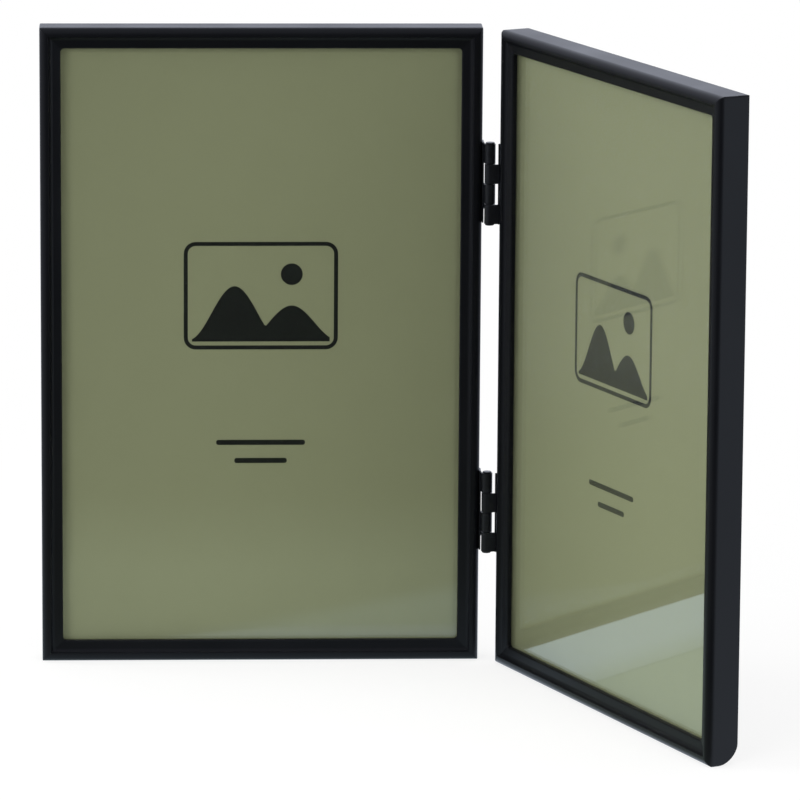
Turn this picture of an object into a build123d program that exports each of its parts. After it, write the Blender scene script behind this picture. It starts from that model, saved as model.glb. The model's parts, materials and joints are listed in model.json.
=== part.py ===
"""Hinged double photo frame, in millimetres.

Two portrait leaves for 4 by 6 inch prints stand at an angle, joined by two small butt hinges.
Each leaf is a one-piece black moulding that holds glass, a picture card, a filler card and a lined
backing board, kept in by four swivel tabs. The pose is the one it stands in: the left leaf runs
along X and faces -Y, and the right leaf is folded toward the viewer. +Z is up, and the origin is
the centre of the bounding box at the height of the table.
"""

import os
from dataclasses import dataclass
from math import acos, atan2, cos, hypot, radians, sin, sqrt

from build123d import *

# Print size that the panes follow
photo_width = 101.6
photo_height = 152.4

# Moulding, seen in section: u runs inward from its outer side, v runs back from its front
wall_thickness = 2.85
pane_clearance = 0.5
moulding_depth = 8.2
face_width = 5.15
shoulder_round = 1.7
crest_width = 0.5
cove_run = 1.3
cove_depth = 0.95
lip_drop = 0.25
seat_depth = 2.4
outline_round = 0.4
sight_round = 0.9
sight_edge_break = 0.2
rear_edge_round = 0.3
foot_width = 0.7
foot_land = 0.8

# Panes, from the front to the back
glass_thickness = 1.6
card_gap = 0.1
insert_thickness = 0.3
filler_thickness = 0.4
board_thickness = 1.6
lining_thickness = 0.2

# Hinges
fold_angle = 65.5
half_gap = 1.8
axis_set_forward = 1.13
hinge_length = 20.0
hinge_inset = 38.25
knuckle_count = 4
knuckle_gap = 0.2
sheet_thickness = 0.4
barrel_radius = 1.325
pin_clearance = 0.05
pin_head_radius = 1.1
pin_head_height = 0.3
plate_front_set = 1.5
plate_bend_set = 1.9
plate_back_margin = 0.3
plate_corner_round = 0.8

# Rivets that hold the hinge plates
hinge_rivet_spacing = 12.0
hinge_rivet_radius = 0.65
hinge_rivet_head_radius = 1.1
hinge_rivet_head_height = 0.35
hinge_rivet_tail_depth = 0.6
rivet_hole_clearance = 0.05

# Swivel tabs and their rivets
tab_spacing = 100.0
tab_pivot_set = 6.1
tab_thickness = 0.5
tab_width = 5.0
tab_reach = 7.0
tab_tail = 2.8
tab_lift_height = 0.7
tab_lift_width = 3.6
tab_gap = 0.1
tab_rivet_radius = 0.8
tab_rivet_head_radius = 1.7
tab_rivet_head_height = 0.4
tab_rivet_tail_radius = 1.3
tab_rivet_tail_depth = 0.5
slot_depth = 1.2
slot_clearance = 0.15
slot_end_room = 0.5

cut_overrun = 1.0

# Sizes worked out from the ones above
rebate_width = photo_width + 2 * pane_clearance
rebate_height = photo_height + 2 * pane_clearance
rebate_round = 2 * pane_clearance
leaf_width = rebate_width + 2 * wall_thickness
leaf_height = rebate_height + 2 * wall_thickness
sight_width = leaf_width - 2 * face_width
sight_height = leaf_height - 2 * face_width
cove_start = shoulder_round + crest_width
cove_end = cove_start + cove_run
lip_depth = cove_depth + lip_drop
foot_round = moulding_depth - shoulder_round - foot_width

insert_front = seat_depth + glass_thickness + card_gap
insert_back = insert_front + insert_thickness
filler_back = insert_back + filler_thickness
board_back = filler_back + board_thickness
lining_back = board_back + lining_thickness
tab_front = lining_back + tab_gap
tab_back = tab_front + tab_thickness
rivet_head_front = tab_back + tab_gap

pin_hole_radius = barrel_radius - sheet_thickness
pin_radius = pin_hole_radius - pin_clearance
knuckle_pitch = hinge_length / knuckle_count
hinge_rivet_depth = seat_depth + hinge_rivet_head_radius
plate_back = hinge_rivet_depth + hinge_rivet_head_radius + plate_back_margin
hinge_centres = {"upper": leaf_height - hinge_inset, "lower": hinge_inset}

tab_heights = {"upper": (leaf_height + tab_spacing) / 2, "lower": (leaf_height - tab_spacing) / 2}
tab_pivot_x = rebate_width / 2 - tab_pivot_set
slot_length = 2 * (sqrt(tab_reach**2 - tab_pivot_set**2) + slot_end_room)

# Bounding box about the hinge axis, from the rounds that reach furthest, and the axis in it
fold_cos = cos(radians(fold_angle))
fold_sin = sin(radians(fold_angle))
leaf_reach = half_gap + leaf_width
rear_round_x = leaf_reach - rear_edge_round
rear_round_y = axis_set_forward + moulding_depth - rear_edge_round
shoulder_x = leaf_reach - shoulder_round
shoulder_y = axis_set_forward + shoulder_round
box_right = rear_round_x * fold_cos + rear_round_y * fold_sin + rear_edge_round
box_front = shoulder_y * fold_cos - shoulder_x * fold_sin - shoulder_round
box_back = axis_set_forward + moulding_depth
axis_x = (leaf_reach - box_right) / 2
axis_y = -(box_front + box_back) / 2


@dataclass
class Leaf:
    """One leaf: its name, its front plane and the side, +1 or -1 along it, that has the hinge."""

    name: str
    front: Plane
    hinge_side: int

    @property
    def plan(self):
        """Plane at the foot of the leaf: x along it, y from its front to its back, z up."""
        return Plane(origin=self.front.origin, x_dir=self.front.x_dir, z_dir=self.front.y_dir)

    @property
    def side(self):
        """Plane across the middle of the leaf: x up, y from its front to its back."""
        return Plane(origin=self.front.origin, x_dir=self.front.y_dir, z_dir=-self.front.x_dir)

    @property
    def along(self):
        """Axis through the leaf from its back to its front."""
        return Axis(self.front.origin, self.front.z_dir)

    def at_depth(self, depth):
        """Plane behind the front by a depth, still facing forward."""
        return self.front.offset(-depth)

    def hinge_wall(self, inset, depth):
        """Plane on the hinge side at a depth, inset from its outer face: x up, z away from the leaf."""
        place = Vector(self.hinge_side * (leaf_width / 2 - inset), 0, -depth)
        return Plane(
            origin=self.front.from_local_coords(place),
            x_dir=self.front.y_dir,
            z_dir=self.front.x_dir * self.hinge_side,
        )


def leaf_plane(turn, hinge_side):
    """Front plane of a leaf turned toward the viewer about the hinge axis, in degrees."""
    along = Vector(cos(radians(turn)), -sin(radians(turn)), 0)
    forward = Vector(-sin(radians(turn)), -cos(radians(turn)), 0)
    middle = -hinge_side * (half_gap + leaf_width / 2)
    origin = Vector(axis_x, axis_y, 0) + along * middle - forward * axis_set_forward
    return Plane(origin=origin, x_dir=along, z_dir=forward)


left_leaf = Leaf("left", leaf_plane(0, 1), 1)
right_leaf = Leaf("right", leaf_plane(fold_angle, -1), -1)


def save(part, name):
    """Label a finished piece and write it under its own name."""
    part.label = name
    export_step(part, f"parts/{name}.step")


def recess_outline(half_span):
    """Closed line of what the cove and the lip take from the front, about the middle of a span."""
    cove_top = (half_span - cove_start, 0)
    cove_foot = (half_span - cove_end, cove_depth)
    lip_edge = (half_span - face_width, lip_depth)
    with BuildLine() as outline:
        Polyline((0, -cut_overrun), (half_span - cove_start, -cut_overrun), cove_top)
        TangentArc(cove_foot, cove_top, tangent=(1, 0))
        Polyline(cove_foot, lip_edge, (0, lip_depth))
        mirror(about=Plane.YZ)
    return outline.line


def make_front_recess(leaf):
    """Cutter for the cove and lip, the same section along all four rails and mitred in the corners."""
    with BuildPart() as recess:
        with BuildSketch(leaf.plan):
            add(recess_outline(leaf_width / 2))
            make_face()
        extrude(amount=leaf_height)
        with BuildSketch(leaf.side):
            with Locations((leaf_height / 2, 0)):
                add(recess_outline(leaf_height / 2))
            make_face()
        extrude(amount=leaf_width / 2, both=True, mode=Mode.INTERSECT)
    return recess.part


def make_frame(leaf):
    """One-piece moulding: shoulder, crest, cove and lip in front, and a rebate for the panes behind."""
    recess = make_front_recess(leaf)
    rebate_wall = leaf.hinge_wall(wall_thickness, hinge_rivet_depth)
    rebate_wall = Plane(origin=rebate_wall.origin, x_dir=rebate_wall.x_dir, z_dir=-rebate_wall.z_dir)
    with BuildPart() as frame:
        # Outer form: the plan section and the side section cross, and meet in mitred shoulders
        with BuildSketch(leaf.plan) as plan:
            Rectangle(leaf_width, moulding_depth, align=(Align.CENTER, Align.MIN))
            fillet(plan.vertices().group_by(Axis.Y)[0], shoulder_round)
            fillet(plan.vertices().group_by(Axis.Y)[-1], rear_edge_round)
        extrude(amount=leaf_height)
        with BuildSketch(leaf.side) as side:
            Rectangle(leaf_height, moulding_depth, align=(Align.MIN, Align.MIN))
            fillet(side.vertices().group_by(Axis.Y)[0], shoulder_round)
            fillet(side.vertices().group_by(Axis.Y)[-1].sort_by(Axis.X)[0], foot_round)
            fillet(side.vertices().group_by(Axis.Y)[-1].sort_by(Axis.X)[-1], rear_edge_round)
        extrude(amount=leaf_width / 2, both=True, mode=Mode.INTERSECT)
        with BuildSketch(leaf.front):
            with Locations((0, leaf_height / 2)):
                RectangleRounded(leaf_width, leaf_height, outline_round)
        extrude(amount=-moulding_depth, mode=Mode.INTERSECT)

        # Front: cove and lip, then the sight opening with its broken edge
        add(recess, mode=Mode.SUBTRACT)
        with BuildSketch(leaf.front):
            with Locations((0, leaf_height / 2)):
                RectangleRounded(sight_width, sight_height, sight_round)
        extrude(amount=-moulding_depth, mode=Mode.SUBTRACT)
        with BuildSketch(leaf.at_depth(lip_depth + sight_edge_break)):
            with Locations((0, leaf_height / 2)):
                RectangleRounded(sight_width, sight_height, sight_round)
        extrude(amount=2 * sight_edge_break, taper=-45, mode=Mode.SUBTRACT)

        # Back: the rebate, the slots that the tabs turn into, and the blunt edge of the lower rail
        with BuildSketch(leaf.at_depth(seat_depth)):
            with Locations((0, leaf_height / 2)):
                RectangleRounded(rebate_width, rebate_height, rebate_round)
        extrude(amount=seat_depth - moulding_depth, mode=Mode.SUBTRACT)
        with BuildSketch(leaf.at_depth(tab_front - slot_clearance)):
            with Locations(*[(0, height) for height in tab_heights.values()]):
                Rectangle(rebate_width + 2 * slot_depth, slot_length)
        extrude(amount=-(tab_thickness + 2 * slot_clearance), mode=Mode.SUBTRACT)
        land_drop = foot_round - (wall_thickness - foot_land)
        land_depth = moulding_depth - foot_round + sqrt(foot_round**2 - land_drop**2)
        with BuildSketch(leaf.at_depth(land_depth)):
            land_cut = (rebate_width - 2 * rebate_round, wall_thickness + rebate_round)
            Rectangle(*land_cut, align=(Align.CENTER, Align.MIN))
        extrude(amount=land_depth - moulding_depth, mode=Mode.SUBTRACT)

        # Hinge side: rivet holes, counterbored from inside the rebate
        with Locations(rebate_wall):
            with Locations(*[(height, 0) for height in hinge_rivet_heights()]):
                CounterBoreHole(
                    radius=hinge_rivet_radius + rivet_hole_clearance,
                    counter_bore_radius=hinge_rivet_head_radius + rivet_hole_clearance,
                    counter_bore_depth=hinge_rivet_tail_depth,
                    depth=wall_thickness,
                )
    return frame.part


def make_pane(leaf, front_depth, thickness):
    """Flat sheet of the print's size, with its front at a depth in the leaf."""
    with BuildPart() as pane:
        with BuildSketch(leaf.at_depth(front_depth)):
            with Locations((0, leaf_height / 2)):
                Rectangle(photo_width, photo_height)
        extrude(amount=-thickness)
    return pane.part


def tab_places(leaf):
    """Name of each tab in a leaf, the side it points to, +1 or -1, and the height of its pivot."""
    sides = {"outer": -leaf.hinge_side, "inner": leaf.hinge_side}
    return [
        (f"{level}_{where}", side, height)
        for level, height in tab_heights.items()
        for where, side in sides.items()
    ]


def tab_pivots():
    """Pivot places of the four tabs on the front plane of a leaf."""
    return [(sign * tab_pivot_x, height) for sign in (-1, 1) for height in tab_heights.values()]


def hinge_rivet_heights():
    """Heights of all hinge rivets: two beside the middle of each hinge."""
    return [centre + sign * hinge_rivet_spacing / 2 for centre in hinge_centres.values() for sign in (-1, 1)]


def make_backing_board(leaf):
    """Board behind the cards, drilled for the tab rivets and counterbored for their clinched tails."""
    with BuildPart() as board:
        with BuildSketch(leaf.at_depth(filler_back)):
            with Locations((0, leaf_height / 2)):
                Rectangle(photo_width, photo_height)
        extrude(amount=-board_thickness)
        with Locations(leaf.at_depth(filler_back)):
            with Locations(*tab_pivots()):
                CounterBoreHole(
                    radius=tab_rivet_radius + rivet_hole_clearance,
                    counter_bore_radius=tab_rivet_tail_radius + rivet_hole_clearance,
                    counter_bore_depth=tab_rivet_tail_depth,
                    depth=board_thickness,
                )
    return board.part


def make_back_lining(leaf):
    """Flocked sheet glued on the back of the board, pierced for the tab rivets."""
    with BuildPart() as lining:
        with BuildSketch(leaf.at_depth(board_back)):
            with Locations((0, leaf_height / 2)):
                Rectangle(photo_width, photo_height)
            with Locations(*tab_pivots()):
                Circle(tab_rivet_radius + rivet_hole_clearance, mode=Mode.SUBTRACT)
        extrude(amount=-lining_thickness)
    return lining.part


def make_tab(leaf, side, height):
    """Swivel tab in its locked place: a round tip in the slot and an upturned finger edge behind."""
    tip_centre = tab_reach - tab_width / 2
    with BuildPart() as tab:
        with BuildSketch(leaf.at_depth(tab_front)):
            with Locations((side * tab_pivot_x, height)):
                with Locations((side * (tip_centre - tab_tail) / 2, 0)):
                    Rectangle(tip_centre + tab_tail, tab_width)
                with Locations((side * tip_centre, 0)):
                    Circle(tab_width / 2)
                Circle(tab_rivet_radius + pin_clearance, mode=Mode.SUBTRACT)
        extrude(amount=-tab_thickness)
        with BuildSketch(leaf.at_depth(tab_back)):
            with Locations((side * (tab_pivot_x - tab_tail + tab_thickness / 2), height)):
                Rectangle(tab_thickness, tab_lift_width)
        extrude(amount=-tab_lift_height)
    return tab.part


def make_tab_rivets(leaf):
    """Four shouldered rivets: a clinched tail in the board, a shank and a low round head on the tab."""
    with BuildPart() as rivets:
        with BuildSketch(leaf.at_depth(filler_back)):
            with Locations(*tab_pivots()):
                Circle(tab_rivet_tail_radius)
        extrude(amount=-tab_rivet_tail_depth)
        with BuildSketch(leaf.at_depth(filler_back)):
            with Locations(*tab_pivots()):
                Circle(tab_rivet_radius)
        extrude(amount=filler_back - rivet_head_front)
        with BuildSketch(leaf.at_depth(rivet_head_front)):
            with Locations(*tab_pivots()):
                Circle(tab_rivet_head_radius)
        extrude(amount=-tab_rivet_head_height)
        fillet(rivets.edges().group_by(leaf.along)[0], tab_rivet_head_height / 2)
    return rivets.part


def make_hinge_rivets(leaf):
    """Rivets through the hinge plates into the frame's wall, with low heads on the plates."""
    wall_face = leaf.hinge_wall(0, hinge_rivet_depth)
    places = [(height, 0) for height in hinge_rivet_heights()]
    with BuildPart() as rivets:
        with BuildSketch(wall_face.offset(-wall_thickness)):
            with Locations(*places):
                Circle(hinge_rivet_head_radius)
        extrude(amount=hinge_rivet_tail_depth)
        with BuildSketch(wall_face.offset(-wall_thickness)):
            with Locations(*places):
                Circle(hinge_rivet_radius)
        extrude(amount=wall_thickness + sheet_thickness)
        with BuildSketch(wall_face.offset(sheet_thickness)):
            with Locations(*places):
                Circle(hinge_rivet_head_radius)
        extrude(amount=hinge_rivet_head_height)
        outward = Axis(wall_face.origin, wall_face.z_dir)
        fillet(rivets.edges().group_by(outward)[-1], hinge_rivet_head_height / 2)
    return rivets.part


def hinge_point(leaf, set_in, set_back):
    """Point on the plan plane of a leaf, from the hinge axis toward the leaf and toward its back."""
    return (leaf.hinge_side * (leaf_width / 2 + half_gap - set_in), set_back - axis_set_forward)


def make_hinge_plate(leaf, centre, first_knuckle):
    """Sheet plate on the side of a leaf, with every other knuckle rolled round the pin from it."""
    bend_distance = hypot(half_gap, plate_bend_set)
    tangent_angle = atan2(plate_bend_set, half_gap) - acos(barrel_radius / bend_distance)
    web_corners = [
        hinge_point(leaf, half_gap, plate_bend_set),
        hinge_point(leaf, half_gap - sheet_thickness, plate_bend_set),
        hinge_point(leaf, pin_hole_radius * cos(tangent_angle), pin_hole_radius * sin(tangent_angle)),
        hinge_point(leaf, barrel_radius * cos(tangent_angle), barrel_radius * sin(tangent_angle)),
    ]
    plate_front = plate_front_set - axis_set_forward
    plate_width = plate_back - plate_front
    bottom = centre - hinge_length / 2
    wall_face = leaf.hinge_wall(0, plate_front + plate_width / 2)
    rivet_set = leaf.hinge_side * (plate_front + plate_width / 2 - hinge_rivet_depth)
    rear_corners = 0 if leaf.hinge_side > 0 else -1
    with BuildPart() as plate:
        with BuildSketch(wall_face) as blank:
            with Locations((centre, 0)):
                Rectangle(hinge_length, plate_width)
            fillet(blank.vertices().group_by(Axis.Y)[rear_corners], plate_corner_round)
            with Locations(*[(centre + sign * hinge_rivet_spacing / 2, rivet_set) for sign in (-1, 1)]):
                Circle(hinge_rivet_radius + rivet_hole_clearance, mode=Mode.SUBTRACT)
        extrude(amount=sheet_thickness)
        for knuckle in range(first_knuckle, knuckle_count, 2):
            top = bottom + hinge_length - knuckle * knuckle_pitch
            with BuildSketch(leaf.plan.offset(top - knuckle_pitch + knuckle_gap / 2)):
                with Locations(hinge_point(leaf, 0, 0)):
                    Circle(barrel_radius)
                with BuildLine():
                    Polyline(*web_corners, close=True)
                make_face()
                with Locations(hinge_point(leaf, 0, 0)):
                    Circle(pin_hole_radius, mode=Mode.SUBTRACT)
            extrude(amount=knuckle_pitch - knuckle_gap)
    return plate.part


def make_hinge_pin(leaf, centre):
    """Pin through the four knuckles, with a low domed head at each end."""
    with BuildPart() as pin:
        with BuildSketch(leaf.plan.offset(centre - hinge_length / 2)):
            with Locations(hinge_point(leaf, 0, 0)):
                Circle(pin_radius)
        extrude(amount=hinge_length)
        for end, rise in ((-1, -pin_head_height), (1, pin_head_height)):
            with BuildSketch(leaf.plan.offset(centre + end * hinge_length / 2)):
                with Locations(hinge_point(leaf, 0, 0)):
                    Circle(pin_head_radius)
            extrude(amount=rise)
        fillet(pin.edges().group_by(Axis.Z)[0], pin_head_height / 2)
        fillet(pin.edges().group_by(Axis.Z)[-1], pin_head_height / 2)
    return pin.part


os.makedirs("parts", exist_ok=True)

for leaf in (left_leaf, right_leaf):
    save(make_frame(leaf), f"{leaf.name}_frame")
    save(make_pane(leaf, seat_depth, glass_thickness), f"{leaf.name}_glass")
    save(make_pane(leaf, insert_front, insert_thickness), f"{leaf.name}_insert_card")
    save(make_pane(leaf, insert_back, filler_thickness), f"{leaf.name}_filler_card")
    save(make_backing_board(leaf), f"{leaf.name}_backing_board")
    save(make_back_lining(leaf), f"{leaf.name}_back_lining")
    for place, side, height in tab_places(leaf):
        save(make_tab(leaf, side, height), f"{leaf.name}_tab_{place}")
    save(make_tab_rivets(leaf), f"{leaf.name}_tab_rivets")
    save(make_hinge_rivets(leaf), f"{leaf.name}_hinge_rivets")

for level, centre in hinge_centres.items():
    save(make_hinge_plate(left_leaf, centre, 0), f"{level}_hinge_left_plate")
    save(make_hinge_plate(right_leaf, centre, 1), f"{level}_hinge_right_plate")
    save(make_hinge_pin(left_leaf, centre), f"{level}_hinge_pin")

# Pivots, feet and hinge axis, for whoever joins the pieces
for leaf in (left_leaf, right_leaf):
    for place, side, height in tab_places(leaf):
        pivot = leaf.front.from_local_coords(Vector(side * tab_pivot_x, height, -tab_front))
        print(f"{leaf.name}_tab_{place} pivot {pivot.X:.4f} {pivot.Y:.4f} {pivot.Z:.4f}")
    foot_depth = shoulder_round + foot_width / 2
    foot = leaf.front.from_local_coords(Vector(0, 0, -foot_depth))
    print(f"{leaf.name} foot {foot.X:.4f} {foot.Y:.4f} {foot.Z:.4f}")
print(f"hinge axis {axis_x:.4f} {axis_y:.4f}")
print(f"leaf {leaf_width:.2f} by {leaf_height:.2f}, slot length {slot_length:.2f}")
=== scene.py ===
"""Dressed model of a hinged double photo frame, in metres.

The two leaves, their hinges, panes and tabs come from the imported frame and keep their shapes. This
script gives each of them its finish, adds the printed pictogram on the two cards, and sets up a pale
table, soft light and the camera.
"""

import json
import logging
import math
from dataclasses import dataclass, field
from enum import Enum
from typing import Any

import bmesh
import bpy
from mathutils import Matrix, Vector


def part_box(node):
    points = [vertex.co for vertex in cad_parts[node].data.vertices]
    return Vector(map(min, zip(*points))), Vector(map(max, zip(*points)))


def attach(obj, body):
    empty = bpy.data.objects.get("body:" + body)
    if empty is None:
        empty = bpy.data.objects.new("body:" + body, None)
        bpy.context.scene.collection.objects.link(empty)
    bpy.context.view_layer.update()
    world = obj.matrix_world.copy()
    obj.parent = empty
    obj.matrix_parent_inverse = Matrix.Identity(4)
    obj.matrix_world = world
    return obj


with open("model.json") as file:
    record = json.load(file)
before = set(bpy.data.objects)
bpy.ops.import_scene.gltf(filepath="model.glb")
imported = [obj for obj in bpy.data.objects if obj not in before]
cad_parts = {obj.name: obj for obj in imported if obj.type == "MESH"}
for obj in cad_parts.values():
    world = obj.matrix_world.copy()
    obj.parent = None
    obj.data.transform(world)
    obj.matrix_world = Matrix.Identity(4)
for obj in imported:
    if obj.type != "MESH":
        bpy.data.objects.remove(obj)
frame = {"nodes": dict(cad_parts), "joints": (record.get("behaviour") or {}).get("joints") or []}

log = logging.getLogger("photo_frame")

MM = 0.001
FOLD_ANGLE = math.radians(65.5)


class Side(Enum):
    """Which of the two leaves a piece belongs to."""

    LEFT = "left"
    RIGHT = "right"


class Level(Enum):
    """Which of the two hinges, or which row of tabs."""

    UPPER = "upper"
    LOWER = "lower"


class Edge(Enum):
    """Which upright edge of its leaf a tab is at: the free one or the hinged one."""

    OUTER = "outer"
    INNER = "inner"


def linear(hex_colour: str) -> tuple[float, float, float, float]:
    """Turns an sRGB hex colour into linear values.

    Args:
        hex_colour: Six hex digits, such as "7b7e5f".

    Returns:
        Linear red, green and blue, and an alpha of 1.
    """
    channels = [int(hex_colour[i : i + 2], 16) / 255 for i in (0, 2, 4)]
    red, green, blue = [c / 12.92 if c <= 0.04045 else ((c + 0.055) / 1.055) ** 2.4 for c in channels]
    return (red, green, blue, 1.0)


def add_node(
    tree: bpy.types.NodeTree,
    kind: str,
    inputs: dict[str | int, Any] | None = None,
    **settings: Any,
) -> bpy.types.Node:
    """Adds one node with its settings, and sets or links its inputs.

    Args:
        tree: The node tree that it joins.
        kind: The node's type name.
        inputs: What each input gets, by name or index: an output socket to link, or a value.
        **settings: Properties of the node itself.

    Returns:
        The new node.
    """
    node = tree.nodes.new(kind)
    for name, value in settings.items():
        setattr(node, name, value)
    for key, value in (inputs or {}).items():
        if isinstance(value, bpy.types.NodeSocket):
            tree.links.new(value, node.inputs[key])
        else:
            node.inputs[key].default_value = value
    return node


def new_material(name: str) -> tuple[bpy.types.Material, bpy.types.NodeTree, bpy.types.Node]:
    """Makes an empty node material.

    Args:
        name: The finish's name.

    Returns:
        The material, its node tree and its output node.
    """
    material = bpy.data.materials.new(name)
    material.use_nodes = True
    tree = material.node_tree
    tree.nodes.clear()
    output = tree.nodes.new("ShaderNodeOutputMaterial")
    return material, tree, output


@dataclass(frozen=True)
class SatinBlackEnamel:
    """Black satin enamel baked on a cast metal moulding, sprayed in one coat.

    It gives a near-black front, soft grey sheen on faces seen at a low angle, a very fine orange peel,
    and edges that are rounded by the coat and so catch a thin line of light.
    """

    name: str = "satin_black_enamel"
    colour: str = "06070a"
    worn_colour: str = "0c0d10"
    roughness: float = 0.42
    roughness_drift: float = 0.03
    drift_mm: float = 22.0
    drift_span: tuple[float, float] = (0.3, 0.7)
    peel_mm: float = 0.55
    peel_depth_mm: float = 0.003
    edge_round_mm: float = 0.3
    ior: float = 1.5
    specular_level: float = 0.17

    def build(self) -> bpy.types.Material:
        """Makes the material: slow colour drift, fine peel in the bump, rounded edges.

        Returns:
            The new material.
        """
        material, tree, output = new_material(self.name)
        place = add_node(tree, "ShaderNodeTexCoord").outputs["Object"]
        drift = add_node(
            tree, "ShaderNodeTexNoise", {"Vector": place, "Scale": 1 / (self.drift_mm * MM), "Detail": 3.0}
        )
        tint = add_node(
            tree,
            "ShaderNodeMix",
            {"Factor": drift.outputs["Fac"], "A": linear(self.colour), "B": linear(self.worn_colour)},
            data_type="RGBA",
        )
        gloss = add_node(
            tree,
            "ShaderNodeMapRange",
            {
                "Value": drift.outputs["Fac"],
                "From Min": self.drift_span[0],
                "From Max": self.drift_span[1],
                "To Min": self.roughness - self.roughness_drift,
                "To Max": self.roughness + self.roughness_drift,
            },
        )
        peel = add_node(
            tree,
            "ShaderNodeTexNoise",
            {"Vector": place, "Scale": 1 / (self.peel_mm * MM), "Detail": 2.0, "Roughness": 0.4},
        )
        edge = add_node(tree, "ShaderNodeBevel", {"Radius": self.edge_round_mm * MM}, samples=4)
        bump = add_node(
            tree,
            "ShaderNodeBump",
            {
                "Height": peel.outputs["Fac"],
                "Distance": self.peel_depth_mm * MM,
                "Strength": 1.0,
                "Normal": edge.outputs["Normal"],
            },
        )
        shader = add_node(
            tree,
            "ShaderNodeBsdfPrincipled",
            {
                "Base Color": tint.outputs["Result"],
                "Roughness": gloss.outputs["Result"],
                "Normal": bump.outputs["Normal"],
                "IOR": self.ior,
                "Specular IOR Level": self.specular_level,
            },
        )
        tree.links.new(shader.outputs["BSDF"], output.inputs["Surface"])
        return material


@dataclass(frozen=True)
class BlackenedSteel:
    """Pressed mild steel, chemically blackened and lightly oiled.

    It gives black hinge sheet with a duller, slightly patchy gloss, and fine rub marks round the barrel
    where the knuckles turn on each other.
    """

    name: str = "blackened_steel"
    colour: str = "0c0d10"
    rubbed_colour: str = "1e2026"
    roughness: float = 0.4
    rubbed_roughness: float = 0.28
    rub_pitch_mm: float = 0.35
    rub_stretch: float = 6.0
    rub_span: tuple[float, float] = (0.55, 0.75)
    rub_depth_mm: float = 0.006
    edge_round_mm: float = 0.12
    ior: float = 1.5
    specular_level: float = 0.25

    def build(self) -> bpy.types.Material:
        """Makes the material: rings of fine rub marks about the upright pin, and patchy gloss.

        Returns:
            The new material.
        """
        material, tree, output = new_material(self.name)
        place = add_node(tree, "ShaderNodeTexCoord").outputs["Object"]
        stretched = add_node(
            tree, "ShaderNodeMapping", {"Vector": place, "Scale": (1.0, 1.0, self.rub_stretch)}
        )
        rub = add_node(
            tree,
            "ShaderNodeTexNoise",
            {
                "Vector": stretched.outputs["Vector"],
                "Scale": 1 / (self.rub_pitch_mm * self.rub_stretch * MM),
                "Detail": 4.0,
            },
        )
        marks = add_node(
            tree,
            "ShaderNodeMapRange",
            {"Value": rub.outputs["Fac"], "From Min": self.rub_span[0], "From Max": self.rub_span[1]},
        )
        tint = add_node(
            tree,
            "ShaderNodeMix",
            {"Factor": marks.outputs["Result"], "A": linear(self.colour), "B": linear(self.rubbed_colour)},
            data_type="RGBA",
        )
        gloss = add_node(
            tree,
            "ShaderNodeMapRange",
            {
                "Value": marks.outputs["Result"],
                "To Min": self.roughness,
                "To Max": self.rubbed_roughness,
            },
        )
        edge = add_node(tree, "ShaderNodeBevel", {"Radius": self.edge_round_mm * MM}, samples=4)
        bump = add_node(
            tree,
            "ShaderNodeBump",
            {
                "Height": rub.outputs["Fac"],
                "Distance": self.rub_depth_mm * MM,
                "Strength": 0.8,
                "Normal": edge.outputs["Normal"],
            },
        )
        shader = add_node(
            tree,
            "ShaderNodeBsdfPrincipled",
            {
                "Base Color": tint.outputs["Result"],
                "Roughness": gloss.outputs["Result"],
                "Normal": bump.outputs["Normal"],
                "IOR": self.ior,
                "Specular IOR Level": self.specular_level,
            },
        )
        tree.links.new(shader.outputs["BSDF"], output.inputs["Surface"])
        return material


@dataclass(frozen=True)
class FloatGlass:
    """Clear soda lime float glass, cut and washed.

    It gives sharp reflections of the other leaf and the table at low angles, a faint green cast, and
    here and there a slightly softer patch where it was wiped.
    """

    name: str = "float_glass"
    colour: str = "fcfefd"
    passed_colour: str = "fdfefd"
    roughness: float = 0.0
    wiped_roughness: float = 0.03
    wipe_mm: float = 34.0
    wipe_span: tuple[float, float] = (0.45, 0.75)
    ior: float = 1.52

    def build(self) -> bpy.types.Material:
        """Makes the material: glass to the eye, and open to the light that falls on the card.

        Returns:
            The new material.
        """
        material, tree, output = new_material(self.name)
        place = add_node(tree, "ShaderNodeTexCoord").outputs["Object"]
        wiped = add_node(
            tree,
            "ShaderNodeTexNoise",
            {"Vector": place, "Scale": 1 / (self.wipe_mm * MM), "Detail": 5.0, "Roughness": 0.62},
        )
        gloss = add_node(
            tree,
            "ShaderNodeMapRange",
            {
                "Value": wiped.outputs["Fac"],
                "From Min": self.wipe_span[0],
                "From Max": self.wipe_span[1],
                "To Min": self.roughness,
                "To Max": self.wiped_roughness,
            },
        )
        glass = add_node(
            tree,
            "ShaderNodeBsdfPrincipled",
            {
                "Base Color": linear(self.colour),
                "Roughness": gloss.outputs["Result"],
                "Transmission Weight": 1.0,
                "IOR": self.ior,
            },
        )
        open_way = add_node(tree, "ShaderNodeBsdfTransparent", {"Color": linear(self.passed_colour)})
        path = add_node(tree, "ShaderNodeLightPath")
        lit = add_node(
            tree,
            "ShaderNodeMath",
            {0: path.outputs["Is Shadow Ray"], 1: path.outputs["Is Diffuse Ray"]},
            operation="MAXIMUM",
        )
        surface = add_node(
            tree,
            "ShaderNodeMixShader",
            {0: lit.outputs["Value"], 1: glass.outputs["BSDF"], 2: open_way.outputs["BSDF"]},
        )
        tree.links.new(surface.outputs["Shader"], output.inputs["Surface"])
        return material


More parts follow.
